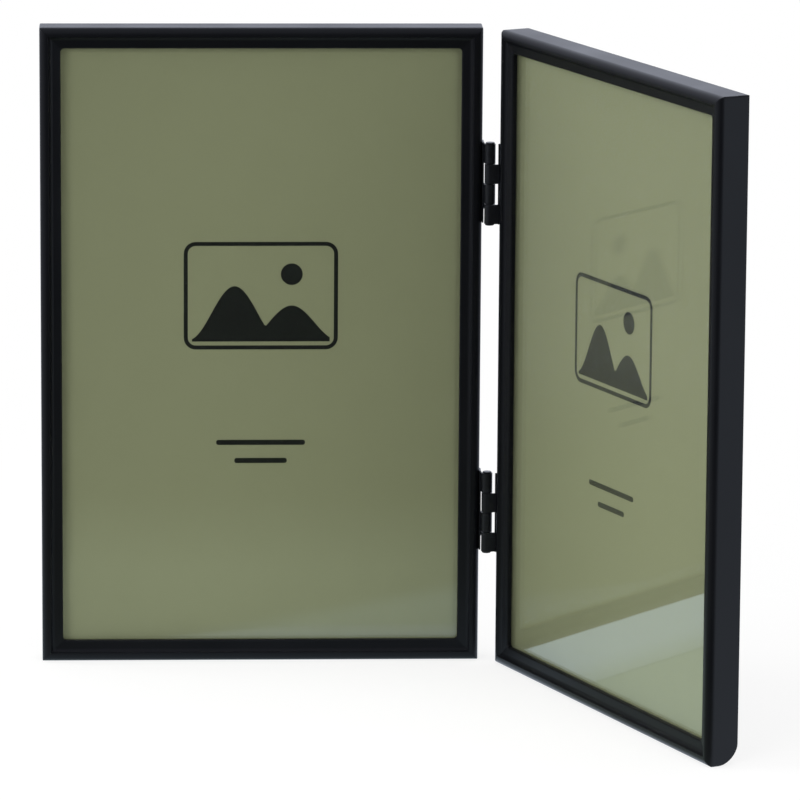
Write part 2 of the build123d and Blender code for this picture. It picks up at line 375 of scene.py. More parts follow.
@dataclass(frozen=True)
class DyedCard:
    """Thin card, dyed khaki in the pulp and calendered.

    It gives an even olive khaki with faint cloudy formation and short fibres just seen close to.
    """

    name: str = "dyed_khaki_card"
    colour: str = "777a5f"
    cloud_colour: str = "7a7d62"
    fibre_colour: str = "6e7258"
    roughness: float = 0.72
    cloud_mm: float = 9.0
    fibre_mm: float = 0.5
    fibre_span: tuple[float, float] = (0.56, 0.8)
    fibre_share: float = 0.3
    tooth_mm: float = 0.0012
    ior: float = 1.5
    specular_level: float = 0.1

    def build(self) -> bpy.types.Material:
        """Makes the material: clouds of pulp, short crossing fibres and a slight tooth.

        Returns:
            The new material.
        """
        material, tree, output = new_material(self.name)
        place = add_node(tree, "ShaderNodeTexCoord").outputs["Object"]
        cloud = add_node(
            tree, "ShaderNodeTexNoise", {"Vector": place, "Scale": 1 / (self.cloud_mm * MM), "Detail": 4.0}
        )
        fibre = add_node(
            tree,
            "ShaderNodeTexNoise",
            {
                "Vector": place,
                "Scale": 1 / (self.fibre_mm * MM),
                "Detail": 3.0,
                "Roughness": 0.7,
                "Distortion": 1.2,
            },
        )
        clouded = add_node(
            tree,
            "ShaderNodeMix",
            {"Factor": cloud.outputs["Fac"], "A": linear(self.colour), "B": linear(self.cloud_colour)},
            data_type="RGBA",
        )
        threads = add_node(
            tree,
            "ShaderNodeMapRange",
            {
                "Value": fibre.outputs["Fac"],
                "From Min": self.fibre_span[0],
                "From Max": self.fibre_span[1],
                "To Max": self.fibre_share,
            },
        )
        tint = add_node(
            tree,
            "ShaderNodeMix",
            {
                "Factor": threads.outputs["Result"],
                "A": clouded.outputs["Result"],
                "B": linear(self.fibre_colour),
            },
            data_type="RGBA",
        )
        bump = add_node(
            tree,
            "ShaderNodeBump",
            {"Height": fibre.outputs["Fac"], "Distance": self.tooth_mm * MM, "Strength": 0.5},
        )
        shader = add_node(
            tree,
            "ShaderNodeBsdfPrincipled",
            {
                "Base Color": tint.outputs["Result"],
                "Roughness": self.roughness,
                "Normal": bump.outputs["Normal"],
                "IOR": self.ior,
                "Specular IOR Level": self.specular_level,
            },
        )
        tree.links.new(shader.outputs["BSDF"], output.inputs["Surface"])
        return material


@dataclass(frozen=True)
class OffsetInk:
    """Black offset ink laid on the card.

    It gives a solid near-black with the card's tooth just showing and a slightly closer sheen.
    """

    name: str = "offset_ink"
    colour: str = "0c0e0b"
    thin_colour: str = "151814"
    roughness: float = 0.6
    mottle_mm: float = 0.6
    ior: float = 1.5
    specular_level: float = 0.1

    def build(self) -> bpy.types.Material:
        """Makes the material: solid ink with a fine mottle.

        Returns:
            The new material.
        """
        material, tree, output = new_material(self.name)
        place = add_node(tree, "ShaderNodeTexCoord").outputs["Object"]
        mottle = add_node(
            tree, "ShaderNodeTexNoise", {"Vector": place, "Scale": 1 / (self.mottle_mm * MM), "Detail": 2.0}
        )
        tint = add_node(
            tree,
            "ShaderNodeMix",
            {"Factor": mottle.outputs["Fac"], "A": linear(self.colour), "B": linear(self.thin_colour)},
            data_type="RGBA",
        )
        shader = add_node(
            tree,
            "ShaderNodeBsdfPrincipled",
            {
                "Base Color": tint.outputs["Result"],
                "Roughness": self.roughness,
                "IOR": self.ior,
                "Specular IOR Level": self.specular_level,
            },
        )
        tree.links.new(shader.outputs["BSDF"], output.inputs["Surface"])
        return material


@dataclass(frozen=True)
class PressedBoard:
    """Pressed board: grey pulp board or brown hardboard, by its colours.

    It gives a dull sheet with matted fibres and darker flecks, seen only at its edges.
    """

    name: str
    colour: str
    fleck_colour: str
    roughness: float = 0.85
    fibre_mm: float = 1.1
    tooth_mm: float = 0.05
    ior: float = 1.5
    specular_level: float = 0.25

    def build(self) -> bpy.types.Material:
        """Makes the material: matted fibres and flecks.

        Returns:
            The new material.
        """
        material, tree, output = new_material(self.name)
        place = add_node(tree, "ShaderNodeTexCoord").outputs["Object"]
        fibre = add_node(
            tree,
            "ShaderNodeTexNoise",
            {
                "Vector": place,
                "Scale": 1 / (self.fibre_mm * MM),
                "Detail": 5.0,
                "Roughness": 0.65,
                "Distortion": 0.8,
            },
        )
        tint = add_node(
            tree,
            "ShaderNodeMix",
            {"Factor": fibre.outputs["Fac"], "A": linear(self.colour), "B": linear(self.fleck_colour)},
            data_type="RGBA",
        )
        bump = add_node(
            tree,
            "ShaderNodeBump",
            {"Height": fibre.outputs["Fac"], "Distance": self.tooth_mm * MM, "Strength": 0.5},
        )
        shader = add_node(
            tree,
            "ShaderNodeBsdfPrincipled",
            {
                "Base Color": tint.outputs["Result"],
                "Roughness": self.roughness,
                "Normal": bump.outputs["Normal"],
                "IOR": self.ior,
                "Specular IOR Level": self.specular_level,
            },
        )
        tree.links.new(shader.outputs["BSDF"], output.inputs["Surface"])
        return material


@dataclass(frozen=True)
class BlackFlock:
    """Rayon flock on paper, electrostatically laid, black.

    It gives a velvety back: deep black face on, a pale bloom at low angles, and soft stroked patches
    where the nap leans. The fibres are 0.5 mm long; the speckle is drawn coarse enough to show.
    """

    name: str = "black_flock"
    colour: str = "101012"
    stroked_colour: str = "1d1d20"
    roughness: float = 0.95
    nap_mm: float = 0.45
    nap_depth_mm: float = 0.12
    stroke_mm: float = 16.0
    lean_span: tuple[float, float] = (0.12, 0.42)
    ior: float = 1.45
    specular_level: float = 0.15
    sheen: float = 0.45
    sheen_roughness: float = 0.4
    sheen_colour: str = "8a8a90"

    def build(self) -> bpy.types.Material:
        """Makes the material: fine nap, broad stroked patches and a sheen.

        Returns:
            The new material.
        """
        material, tree, output = new_material(self.name)
        place = add_node(tree, "ShaderNodeTexCoord").outputs["Object"]
        nap = add_node(
            tree,
            "ShaderNodeTexNoise",
            {"Vector": place, "Scale": 1 / (self.nap_mm * MM), "Detail": 4.0, "Roughness": 0.75},
        )
        stroke = add_node(
            tree,
            "ShaderNodeTexNoise",
            {"Vector": place, "Scale": 1 / (self.stroke_mm * MM), "Detail": 3.0, "Distortion": 1.0},
        )
        leaning = add_node(
            tree,
            "ShaderNodeMath",
            {0: stroke.outputs["Fac"], 1: nap.outputs["Fac"]},
            operation="MULTIPLY",
        )
        lean = add_node(
            tree,
            "ShaderNodeMapRange",
            {
                "Value": leaning.outputs["Value"],
                "From Min": self.lean_span[0],
                "From Max": self.lean_span[1],
            },
        )
        tint = add_node(
            tree,
            "ShaderNodeMix",
            {
                "Factor": lean.outputs["Result"],
                "A": linear(self.colour),
                "B": linear(self.stroked_colour),
            },
            data_type="RGBA",
        )
        bump = add_node(
            tree,
            "ShaderNodeBump",
            {"Height": nap.outputs["Fac"], "Distance": self.nap_depth_mm * MM, "Strength": 0.7},
        )
        shader = add_node(
            tree,
            "ShaderNodeBsdfPrincipled",
            {
                "Base Color": tint.outputs["Result"],
                "Roughness": self.roughness,
                "Normal": bump.outputs["Normal"],
                "IOR": self.ior,
                "Specular IOR Level": self.specular_level,
                "Sheen Weight": self.sheen,
                "Sheen Roughness": self.sheen_roughness,
                "Sheen Tint": linear(self.sheen_colour),
            },
        )
        tree.links.new(shader.outputs["BSDF"], output.inputs["Surface"])
        return material


@dataclass(frozen=True)
class NickelledSteel:
    """Bright nickel plate on cold-rolled strip, which keeps the strip's rolling lines.

    It gives warm silver tabs and rivet heads with straight lines, duller and brighter by turns. Real
    rolling lines are finer than 0.1 mm; these are drawn coarse enough to show.
    """

    name: str
    along_turn: float
    colour: str = "c9c3b6"
    dull_colour: str = "a39d90"
    roughness: float = 0.27
    roughness_drop: float = 0.06
    roughness_rise: float = 0.08
    line_mm: float = 0.16
    line_squeeze: float = 0.04
    line_span: tuple[float, float] = (0.3, 0.7)
    line_depth_mm: float = 0.004
    edge_round_mm: float = 0.1

    def build(self) -> bpy.types.Material:
        """Makes the material: rolling lines along the leaf, drawn as stretched noise.

        Returns:
            The new material.
        """
        material, tree, output = new_material(self.name)
        place = add_node(tree, "ShaderNodeTexCoord").outputs["Object"]
        turned = add_node(
            tree, "ShaderNodeMapping", {"Vector": place, "Rotation": (0.0, 0.0, self.along_turn)}
        )
        drawn = add_node(
            tree,
            "ShaderNodeMapping",
            {"Vector": turned.outputs["Vector"], "Scale": (self.line_squeeze, 1.0, 1.0)},
        )
        lines = add_node(
            tree,
            "ShaderNodeTexNoise",
            {"Vector": drawn.outputs["Vector"], "Scale": 1 / (self.line_mm * MM), "Detail": 3.0},
        )
        tint = add_node(
            tree,
            "ShaderNodeMix",
            {"Factor": lines.outputs["Fac"], "A": linear(self.colour), "B": linear(self.dull_colour)},
            data_type="RGBA",
        )
        gloss = add_node(
            tree,
            "ShaderNodeMapRange",
            {
                "Value": lines.outputs["Fac"],
                "From Min": self.line_span[0],
                "From Max": self.line_span[1],
                "To Min": self.roughness - self.roughness_drop,
                "To Max": self.roughness + self.roughness_rise,
            },
        )
        edge = add_node(tree, "ShaderNodeBevel", {"Radius": self.edge_round_mm * MM}, samples=4)
        bump = add_node(
            tree,
            "ShaderNodeBump",
            {
                "Height": lines.outputs["Fac"],
                "Distance": self.line_depth_mm * MM,
                "Strength": 0.6,
                "Normal": edge.outputs["Normal"],
            },
        )
        shader = add_node(
            tree,
            "ShaderNodeBsdfPrincipled",
            {
                "Base Color": tint.outputs["Result"],
                "Metallic": 1.0,
                "Roughness": gloss.outputs["Result"],
                "Normal": bump.outputs["Normal"],
            },
        )
        tree.links.new(shader.outputs["BSDF"], output.inputs["Surface"])
        return material


@dataclass(frozen=True)
class PaleTable:
    """Matt white table that fades into the white room, so that only the frame's shadow shows on it.

    In gloss it shows painted light of its own, set by place: a cool bright painted pool of light in front
    of the left leaf, a thin painted dark line at the pool's edge, a duller painted glow past it that grows
    dark toward the camera, and a brighter painted glow behind the right leaf. Panes and enamel mirror
    these.
    """

    name: str = "pale_table"
    colour: str = "f4f4f4"
    # To the camera: light of its own, and the share of the falling light that it shows.
    own_light: float = 0.8
    seen_share: float = 0.24
    # The painted pool of light starts at this Y with a step in brightness, and rises to the whole of it
    # over the blur.
    pool_edge: float = 15 * MM
    edge_blur: float = 14 * MM
    edge_step: float = 0.3
    # A thin painted dark line along the painted pool's edge: its half width and the light it takes away.
    dark_line_half: float = 0.5 * MM
    dark_line_loss: float = 0.16
    # Colours of painted light, not of the table: the painted pool, and the duller painted glow past its
    # edge.
    pool_light: tuple[float, float, float] = (0.8, 0.97, 1.1)
    past_glow: tuple[float, float, float] = (0.56, 0.7, 0.64)
    # The painted light that only the left pane mirrors is duller, and the painted pool's edge lies further
    # back in it.
    left_glow: tuple[float, float, float] = (0.34, 0.4, 0.3)
    left_way: tuple[float, float, float] = (0.726, 1.0, 0.0)
    left_from: float = -16 * MM
    left_to: float = 4.5 * MM
    edge_back: float = 14 * MM
    # The painted glow behind the right leaf, which its end face mirrors, by its distance along that leaf's
    # normal.
    side_glow: tuple[float, float, float] = (1.5, 1.68, 1.95)
    side_way: tuple[float, float, float] = (math.sin(FOLD_ANGLE), math.cos(FOLD_ANGLE), 0.0)
    side_from: float = 43 * MM
    side_full: float = 46.5 * MM
    # Toward the camera, along Y, the painted light falls off to this share.
    gleam_full: float = -45 * MM
    gleam_end: float = -130 * MM
    far_gleam: float = 0.06
    # How far from the middle the table fades into the room.
    fade_from: float = 130 * MM
    fade_to: float = 340 * MM

    def gleam(
        self,
        tree: bpy.types.NodeTree,
        place: bpy.types.NodeSocket,
        through_glass: bpy.types.NodeSocket,
    ) -> bpy.types.NodeSocket:
        """Adds the painted light that the table shows in gloss.

        Args:
            tree: The material's node tree.
            place: The point on the table.
            through_glass: 1 for a ray that comes out of a pane, which doesn't see the painted glow behind
                the right leaf.

        Returns:
            The colour's socket.
        """
        point = add_node(tree, "ShaderNodeSeparateXYZ", {"Vector": place})
        across = add_node(
            tree, "ShaderNodeVectorMath", {0: place, 1: self.left_way}, operation="DOT_PRODUCT"
        )
        rightward = add_node(
            tree,
            "ShaderNodeMapRange",
            {"Value": across.outputs["Value"], "From Min": self.left_from, "From Max": self.left_to},
            interpolation_type="SMOOTHSTEP",
        )
        past = add_node(
            tree,
            "ShaderNodeMix",
            {
                "Factor": rightward.outputs["Result"],
                "A": self.left_glow + (1.0,),
                "B": self.past_glow + (1.0,),
            },
            data_type="RGBA",
        )
        edge = add_node(
            tree,
            "ShaderNodeMapRange",
            {
                "Value": rightward.outputs["Result"],
                "To Min": self.pool_edge + self.edge_back,
                "To Max": self.pool_edge,
            },
        )
        inside = add_node(
            tree,
            "ShaderNodeMath",
            {0: point.outputs["Y"], 1: edge.outputs["Result"]},
            operation="SUBTRACT",
        )
        in_pool = add_node(
            tree, "ShaderNodeMath", {0: inside.outputs["Value"], 1: 0.0}, operation="GREATER_THAN"
        )
        rise = add_node(
            tree,
            "ShaderNodeMapRange",
            {"Value": inside.outputs["Value"], "From Max": self.edge_blur, "To Min": self.edge_step},
        )
        pool_share = add_node(
            tree,
            "ShaderNodeMath",
            {0: in_pool.outputs["Value"], 1: rise.outputs["Result"]},
            operation="MULTIPLY",
        )
        # Painted light: the cool painted pool mixed with the duller painted glow past its edge.
        lit = add_node(
            tree,
            "ShaderNodeMix",
            {
                "Factor": pool_share.outputs["Value"],
                "A": past.outputs["Result"],
                "B": self.pool_light + (1.0,),
            },
            data_type="RGBA",
        )
        nearness = add_node(
            tree,
            "ShaderNodeMapRange",
            {
                "Value": point.outputs["Y"],
                "From Min": self.gleam_end,
                "From Max": self.gleam_full,
                "To Min": self.far_gleam,
            },
        )
        # Painted dark line along the painted pool's edge, which dims the painted light there.
        dark_line = add_node(
            tree,
            "ShaderNodeMath",
            {0: inside.outputs["Value"], 1: 0.0, 2: self.dark_line_half},
            operation="COMPARE",
        )
        level = add_node(
            tree,
            "ShaderNodeMath",
            {0: dark_line.outputs["Value"], 1: -self.dark_line_loss, 2: nearness.outputs["Result"]},
            operation="MULTIPLY_ADD",
        )
        dimmed = add_node(
            tree,
            "ShaderNodeVectorMath",
            {0: lit.outputs["Result"], "Scale": level.outputs["Value"]},
            operation="SCALE",
        )
        # Painted glow behind the right leaf, which only its end face and edges mirror.
        behind = add_node(
            tree, "ShaderNodeVectorMath", {0: place, 1: self.side_way}, operation="DOT_PRODUCT"
        )
        beside = add_node(
            tree,
            "ShaderNodeMapRange",
            {"Value": behind.outputs["Value"], "From Min": self.side_from, "From Max": self.side_full},
            interpolation_type="SMOOTHSTEP",
        )
        bright = add_node(
            tree,
            "ShaderNodeMath",
            {0: beside.outputs["Result"], 1: through_glass},
            operation="SUBTRACT",
            use_clamp=True,
        )
        return add_node(
            tree,
            "ShaderNodeMix",
            {
                "Factor": bright.outputs["Value"],
                "A": dimmed.outputs["Vector"],
                "B": self.side_glow + (1.0,),
            },
            data_type="RGBA",
        ).outputs["Result"]

    def build(self) -> bpy.types.Material:
        """Makes the material: matt to the falling light, lit of its own to the eye, with a faded rim.

        Returns:
            The new material.
        """
        material, tree, output = new_material(self.name)
        place = add_node(tree, "ShaderNodeTexCoord").outputs["Object"]
        path = add_node(tree, "ShaderNodeLightPath")
        shown = add_node(
            tree,
            "ShaderNodeMix",
            {
                "Factor": path.outputs["Is Camera Ray"],
                "A": self.gleam(tree, place, path.outputs["Is Transmission Ray"]),
                "B": (self.own_light,) * 3 + (1.0,),
            },
            data_type="RGBA",
        ).outputs["Result"]
        share = add_node(
            tree,
            "ShaderNodeMath",
            {0: path.outputs["Is Camera Ray"], 1: self.seen_share},
            operation="MULTIPLY",
        )
        dimmed = add_node(tree, "ShaderNodeBsdfDiffuse", {"Color": share.outputs["Value"]})
        light = add_node(tree, "ShaderNodeEmission", {"Color": shown, "Strength": 1.0})
        seen = add_node(
            tree, "ShaderNodeAddShader", {0: dimmed.outputs["BSDF"], 1: light.outputs["Emission"]}
        )
        matt = add_node(tree, "ShaderNodeBsdfDiffuse", {"Color": linear(self.colour)})
        mirrored = add_node(
            tree,
            "ShaderNodeMath",
            {0: path.outputs["Is Glossy Ray"], 1: path.outputs["Is Transmission Ray"]},
            operation="MAXIMUM",
        )
        looked_at = add_node(
            tree,
            "ShaderNodeMath",
            {0: path.outputs["Is Camera Ray"], 1: mirrored.outputs["Value"]},
            operation="MAXIMUM",
        )
        table = add_node(
            tree,
            "ShaderNodeMixShader",
            {0: looked_at.outputs["Value"], 1: matt.outputs["BSDF"], 2: seen.outputs["Shader"]},
        )
        reach = add_node(tree, "ShaderNodeVectorMath", {0: place}, operation="LENGTH")
        fade = add_node(
            tree,
            "ShaderNodeMapRange",
            {"Value": reach.outputs["Value"], "From Min": self.fade_from, "From Max": self.fade_to},
            interpolation_type="SMOOTHSTEP",
        )
        clear = add_node(tree, "ShaderNodeBsdfTransparent")
        surface = add_node(
            tree,
            "ShaderNodeMixShader",
            {0: fade.outputs["Result"], 1: table.outputs["Shader"], 2: clear.outputs["BSDF"]},
        )
        tree.links.new(surface.outputs["Shader"], output.inputs["Surface"])
        return material


@dataclass
class Finishes:
    """Every finish on the object, each made once."""

    enamel: bpy.types.Material = field(default_factory=lambda: SatinBlackEnamel().build())
    blackened: bpy.types.Material = field(default_factory=lambda: BlackenedSteel().build())
    glass: bpy.types.Material = field(default_factory=lambda: FloatGlass().build())
    card: bpy.types.Material = field(default_factory=lambda: DyedCard().build())
    ink: bpy.types.Material = field(default_factory=lambda: OffsetInk().build())
    grey_board: bpy.types.Material = field(
        default_factory=lambda: PressedBoard("grey_pulp_board", "b5ac9c", "958c7c").build()
    )
    hardboard: bpy.types.Material = field(
        default_factory=lambda: PressedBoard("brown_hardboard", "7b5b40", "5c4029").build()
    )
    flock: bpy.types.Material = field(default_factory=lambda: BlackFlock().build())
    nickel: dict[Side, bpy.types.Material] = field(
        default_factory=lambda: {
            Side.LEFT: NickelledSteel("nickelled_steel_left", 0.0).build(),
            Side.RIGHT: NickelledSteel("nickelled_steel_right", FOLD_ANGLE).build(),
        }
    )


def dress(node: str, material: bpy.types.Material) -> None:
    """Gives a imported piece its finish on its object's material slots.

    Args:
        node: The piece's node name.
        material: The finish.
    """
    piece = frame["nodes"][node]
    if not piece.material_slots:
        piece.data.materials.append(None)
    for material_slot in piece.material_slots:
        material_slot.link = "OBJECT"
        material_slot.material = material
    log.info("dressed %s in %s", node, material.name)


@dataclass
class HingeLine:
    """The upright line that both pins share, read from the frame."""

    x: float
    y: float

    @classmethod
    def read(cls) -> "HingeLine":
        """Reads the line from the joint between the leaves."""
        joint = next(joint for joint in frame["joints"] if joint["name"] == "leaf_fold")
        return cls(joint["pos_m"][0], joint["pos_m"][1])


@dataclass
class CardPrint:
    """Printed pictogram on a card: hills and a sun in a thin border, with two plain rules below it."""

    ink_thickness: float = 0.03 * MM
    border_width: float = 38.0 * MM
    border_height: float = 27.0 * MM
    border_line: float = 1.0 * MM
    border_round: float = 3.0 * MM
    border_centre_z: float = 92.0 * MM
    # Each hill's peak, rise and half width, in shares of the border's width, height and width.
    hill_shapes: tuple[tuple[float, float, float], ...] = ((-0.17, 0.5, 0.3), (0.2, 0.32, 0.3))
    hill_lift: float = 0.4 * MM
    # The sun's place from the border's centre, in shares of the border's width and height.
    sun_place: tuple[float, float] = (0.2, 0.2)
    sun_radius: float = 2.7 * MM
    rule_widths: tuple[float, float] = (22.0 * MM, 13.0 * MM)
    rule_height: float = 1.3 * MM
    rule_round: float = 0.585 * MM
    rule_top_z: float = 55.0 * MM
    rule_pitch: float = 4.6 * MM
    arc_steps: int = 10

    def rounded(self, width: float, height: float, radius: float, centre_z: float) -> list[Vector]:
        """Outline of a rounded rectangle in the leaf's x and z.

        Args:
            width: Its whole width.
            height: Its whole height.
            radius: The radius of its corners.
            centre_z: The height of its centre.

        Returns:
            Its points, in order.
        """
        points = []
        for corner, (sign_x, sign_z) in enumerate(((1, 1), (-1, 1), (-1, -1), (1, -1))):
            centre_x = sign_x * (width / 2 - radius)
            centre = Vector((centre_x, 0.0, centre_z + sign_z * (height / 2 - radius)))
            for step in range(self.arc_steps + 1):
                angle = math.pi / 2 * (corner + step / self.arc_steps)
                points.append(centre + Vector((math.cos(angle), 0.0, math.sin(angle))) * radius)
        return points

    def hills(self, low: float, high: float) -> list[Vector]:
        """Outline of the row of smooth hills that stands inside the border's lower line.

        Args:
            low: The furthest left that it reaches.
            high: The furthest right that it reaches.

        Returns:
            Its points, in order.
        """
        foot = self.border_centre_z - self.border_height / 2 + 2 * self.border_line
        steps = 8 * self.arc_steps
        points = []
        for step in range(steps + 1):
            x = low + (high - low) * step / steps
            rises = []
            for peak, rise, spread in self.hill_shapes:
                share = min(abs(x - peak * self.border_width) / (spread * self.border_width), 1.0)
                rises.append(rise * self.border_height * (0.5 + 0.5 * math.cos(math.pi * share)))
            points.append(Vector((x, 0.0, foot + max(rises) + self.hill_lift)))
        points.append(Vector((high, 0.0, foot)))
        points.append(Vector((low, 0.0, foot)))
        return points

    def disc(self, centre: Vector, radius: float) -> list[Vector]:
        """Outline of a disc.

        Args:
            centre: Its centre.
            radius: Its radius.

        Returns:
            Its points, in order.
        """
        steps = 4 * self.arc_steps
        turns = [2 * math.pi * step / steps for step in range(steps)]
        return [centre + Vector((math.cos(turn), 0.0, math.sin(turn))) * radius for turn in turns]

    def lay(
        self, mesh: bmesh.types.BMesh, outline: list[Vector], hole: list[Vector] | None = None
    ) -> None:
        """Lays one shape of ink, as thick as the film, with its face toward the glass.

        Args:
            mesh: The mesh that it joins.
            outline: Its outer points.
            hole: The points of a hole in it, as many as the outline's, or None.
        """
        film = Vector((0.0, self.ink_thickness, 0.0))
        back = [mesh.verts.new(point) for point in outline]
        front = [mesh.verts.new(point - film) for point in outline]
        loops = [(back, front)]
        if hole:
            hole_back = [mesh.verts.new(point) for point in hole]
            hole_front = [mesh.verts.new(point - film) for point in hole]
            loops.append((hole_back, hole_front))
        count = len(outline)
        for lower, upper in loops:
            for i in range(count):
                j = (i + 1) % count
                mesh.faces.new((lower[i], lower[j], upper[j], upper[i]))
        if hole:
            for outer, inner in ((back, hole_back), (front, hole_front)):
                for i in range(count):
                    j = (i + 1) % count
                    mesh.faces.new((outer[i], outer[j], inner[j], inner[i]))
        else:
            mesh.faces.new(back)
            mesh.faces.new(front)

    def build(self, name: str, place: Matrix, ink: bpy.types.Material) -> bpy.types.Object:
        """Makes the print of one card.

        Args:
            name: The new piece's name.
            place: From the leaf's own x, depth and height to the row frame.
            ink: Its finish.

        Returns:
            The new piece.
        """
        mesh = bmesh.new()
        inset = self.border_line
        width, height, centre_z = self.border_width, self.border_height, self.border_centre_z
        outer = self.rounded(width, height, self.border_round, centre_z)
        inner = self.rounded(width - 2 * inset, height - 2 * inset, self.border_round - inset, centre_z)
        self.lay(mesh, outer, inner)
        reach = width / 2 - 2 * inset
        self.lay(mesh, self.hills(-reach, reach))
        sun = Vector((self.sun_place[0] * width, 0.0, centre_z + self.sun_place[1] * height))
        self.lay(mesh, self.disc(sun, self.sun_radius))
        for row, rule in enumerate(self.rule_widths):
            rule_z = self.rule_top_z - row * self.rule_pitch
            self.lay(mesh, self.rounded(rule, self.rule_height, self.rule_round, rule_z))
        bmesh.ops.recalc_face_normals(mesh, faces=mesh.faces)
        mesh.transform(place)
        data = bpy.data.meshes.new(name)
        mesh.to_mesh(data)
        mesh.free()
        piece = bpy.data.objects.new(name, data)
        bpy.context.scene.collection.objects.link(piece)
        data.materials.append(ink)
        return piece


@dataclass
class Leaf:
    """One leaf of the frame: moulding, glass, card with its print, filler, board, lining and tabs."""

    side: Side
    hinge: HingeLine
    print_on_card: CardPrint = field(default_factory=CardPrint)

    @property
    def body(self) -> str:
        """The name of the body that the leaf's own pieces ride on."""
        return f"{self.side.value}_leaf"

    def place(self, depth: float) -> Matrix:
        """Matrix from the leaf's own x, depth and height, with its middle at 0, to the row frame.

        Args:
            depth: How far behind the leaf's front the new zero of depth is.

        Returns:
            The matrix.
        """
        low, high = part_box("left_frame")
        set_back = low[1] - self.hinge.y + depth
        middle = self.hinge.x - (low[0] + high[0]) / 2
        if self.side is Side.LEFT:
            return Matrix.Translation((self.hinge.x - middle, self.hinge.y + set_back, 0.0))
        turn = Matrix.Rotation(-FOLD_ANGLE, 4, "Z")
        about = Matrix.Translation((self.hinge.x, self.hinge.y, 0.0))
        return about @ turn @ Matrix.Translation((middle, set_back, 0.0))

    def card_depth(self) -> float:
        """How far the card's front lies behind the leaf's front, from the left leaf, which faces -Y."""
        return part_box("left_insert_card")[0][1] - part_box("left_frame")[0][1]

    def build(self, finishes: Finishes) -> list[bpy.types.Object]:
        """Dresses the leaf's pieces and adds the print on its card.

        Args:
            finishes: The object's finishes.

        Returns:
            The pieces that were added.
        """
        side = self.side.value
        plain = {
            "frame": finishes.enamel,
            "glass": finishes.glass,
            "insert_card": finishes.card,
            "filler_card": finishes.grey_board,
            "backing_board": finishes.hardboard,
            "back_lining": finishes.flock,
            "tab_rivets": finishes.nickel[self.side],
            "hinge_rivets": finishes.blackened,
        }
        for piece, material in plain.items():
            dress(f"{side}_{piece}", material)
        for level in Level:
            for edge in Edge:
                dress(f"{side}_tab_{level.value}_{edge.value}", finishes.nickel[self.side])
        place = self.place(self.card_depth())
        film = self.print_on_card.build(f"{side}_card_print", place, finishes.ink)
        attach(film, self.body)
        return [film]


@dataclass
class ButtHinge:
    """One small butt hinge: two plates with rolled knuckles, and the pin through them."""

    level: Level

    def build(self, finishes: Finishes) -> None:
        """Dresses the plates and the pin.

        Args:
            finishes: The object's finishes.
        """
        for piece in ("left_plate", "right_plate", "pin"):
            dress(f"{self.level.value}_hinge_{piece}", finishes.blackened)


@dataclass(frozen=True)
class SoftLamp:
    """One square soft lamp, which faces the object's middle."""

    name: str
    place: tuple[float, float, float]
    size: float
    watts: float

    def build(self, aim: Vector) -> None:
        """Hangs the lamp. It is left out of gloss, where the light tent stands for it.

        Args:
            aim: The point that it faces.
        """
        data = bpy.data.lights.new(self.name, "AREA")
        data.shape = "SQUARE"
        data.size = self.size
        data.energy = self.watts
        lamp = bpy.data.objects.new(self.name, data)
        lamp.visible_glossy = False
        lamp.location = self.place
        lamp.rotation_euler = (aim - Vector(self.place)).to_track_quat("-Z", "Y").to_euler()
        bpy.context.scene.collection.objects.link(lamp)


